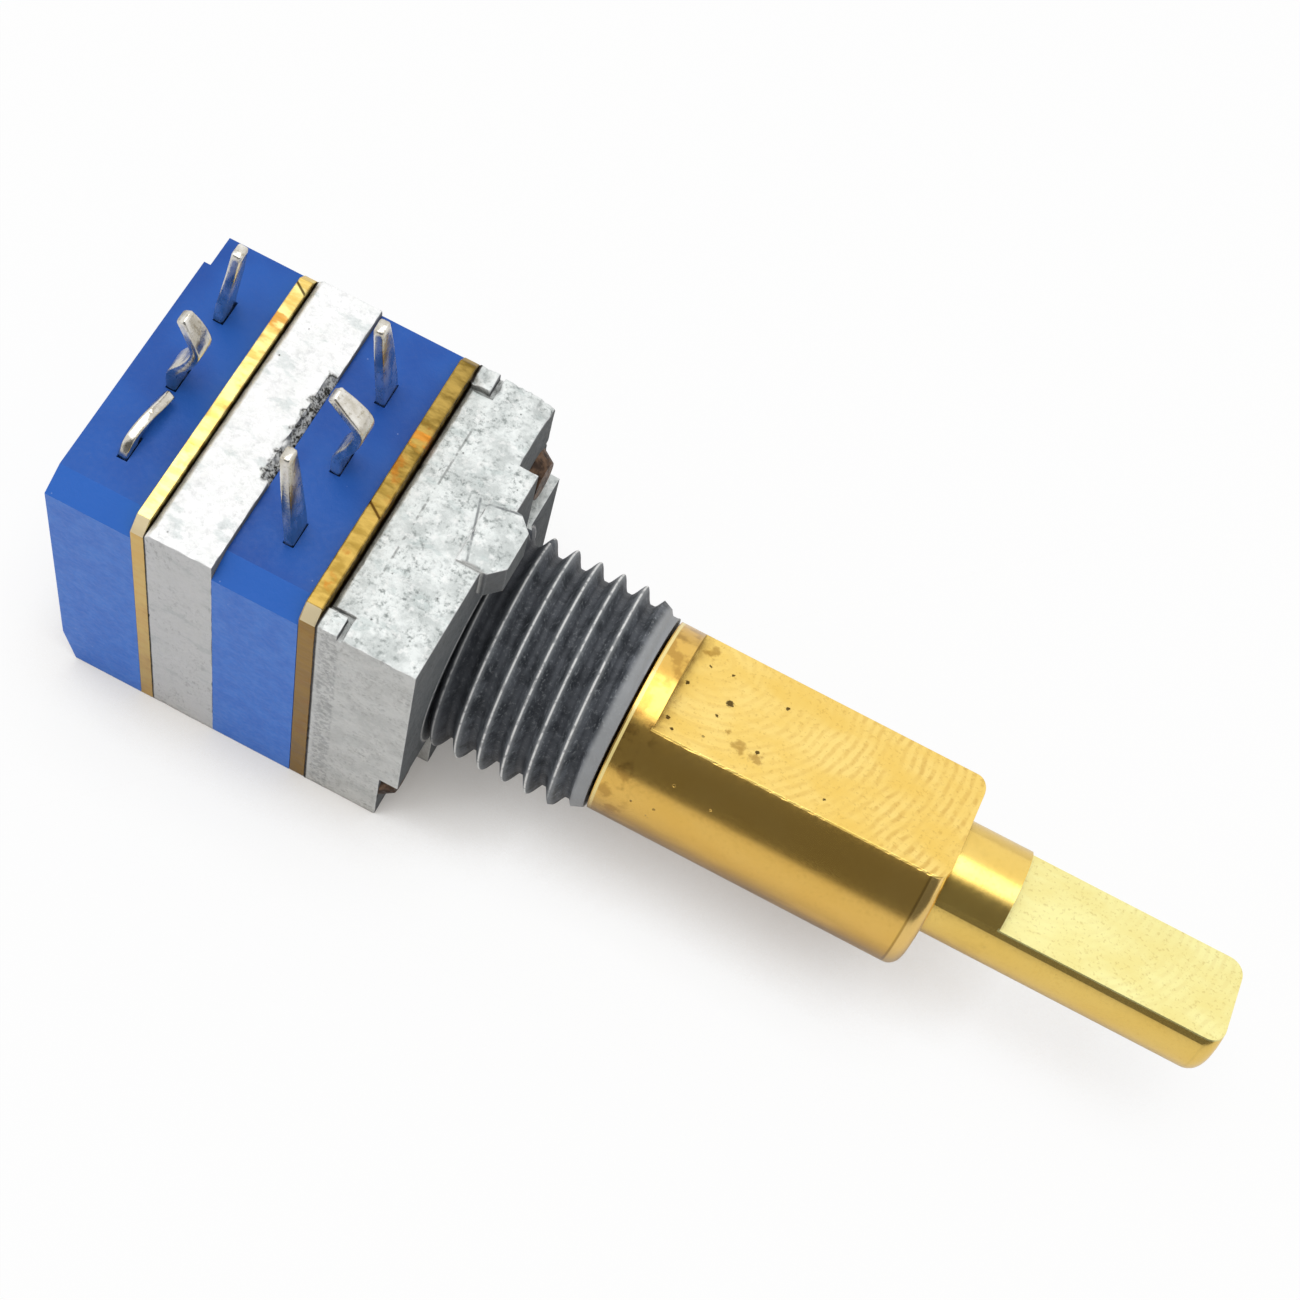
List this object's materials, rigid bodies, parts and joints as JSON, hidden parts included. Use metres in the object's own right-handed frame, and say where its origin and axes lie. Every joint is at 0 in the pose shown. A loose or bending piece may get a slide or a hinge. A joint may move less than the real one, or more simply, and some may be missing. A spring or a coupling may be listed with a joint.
{
  "type": "rotary potentiometer",
  "caption": "Rotary potentiometer with concentric brass shafts, a threaded die-cast bushing, stacked blue wafers and board terminals.",
  "frame": {"origin": "on the shaft axis, in the plane of the cast block's mounting face, where the threaded bushing starts", "axes": "+X along the shafts towards their tips, +Z towards the side with the terminals, +Y completes the right-handed frame"},
  "size_m": [0.035, 0.0094, 0.0145],
  "materials": {
    "zinc_casting": "as-cast zinc alloy, pale grey, slightly mottled",
    "outer_brass": "turned and milled brass, satin, with fine marks",
    "inner_brass": "turned pale yellow brass, satin",
    "plate_brass": "stamped brass sheet, slightly tarnished",
    "ring_steel": "spring steel",
    "rivet_steel": "steel with brown surface rust",
    "blue_resin": "moulded blue resin, satin",
    "element_board": "phenolic board with a black resistive track",
    "rotor_resin": "moulded black resin",
    "wiper_bronze": "spring bronze strip",
    "tinned_terminal": "tinned brass strip, dull"
  },
  "bodies": {
    "housing": {"bushing_block": "zinc_casting", "front_plate": "plate_brass", "front_wafer": "blue_resin", "front_element": "element_board", "front_terminal_near": "tinned_terminal", "front_terminal_middle": "tinned_terminal", "front_terminal_far": "tinned_terminal", "spacer_block": "zinc_casting", "rear_plate": "plate_brass", "rear_wafer": "blue_resin", "rear_element": "element_board", "rear_terminal_near": "tinned_terminal", "rear_terminal_middle": "tinned_terminal", "rear_terminal_far": "tinned_terminal", "stack_rivets": "rivet_steel"},
    "outer_shaft_group": {"outer_shaft": "outer_brass", "outer_ring": "ring_steel", "front_rotor": "rotor_resin", "front_wiper": "wiper_bronze"},
    "inner_shaft_group": {"inner_shaft": "inner_brass", "inner_ring": "ring_steel", "rear_rotor": "rotor_resin", "rear_wiper": "wiper_bronze"}
  },
  "joints": [
    {"name": "outer_shaft_turn", "type": "hinge", "parent": "housing", "child": "outer_shaft_group", "pos_m": [0, 0, 0], "axis": [1, 0, 0], "range_deg": [-150, 150]},
    {"name": "inner_shaft_turn", "type": "hinge", "parent": "housing", "child": "inner_shaft_group", "pos_m": [0, 0, 0], "axis": [1, 0, 0], "range_deg": [-150, 150]}
  ]
}
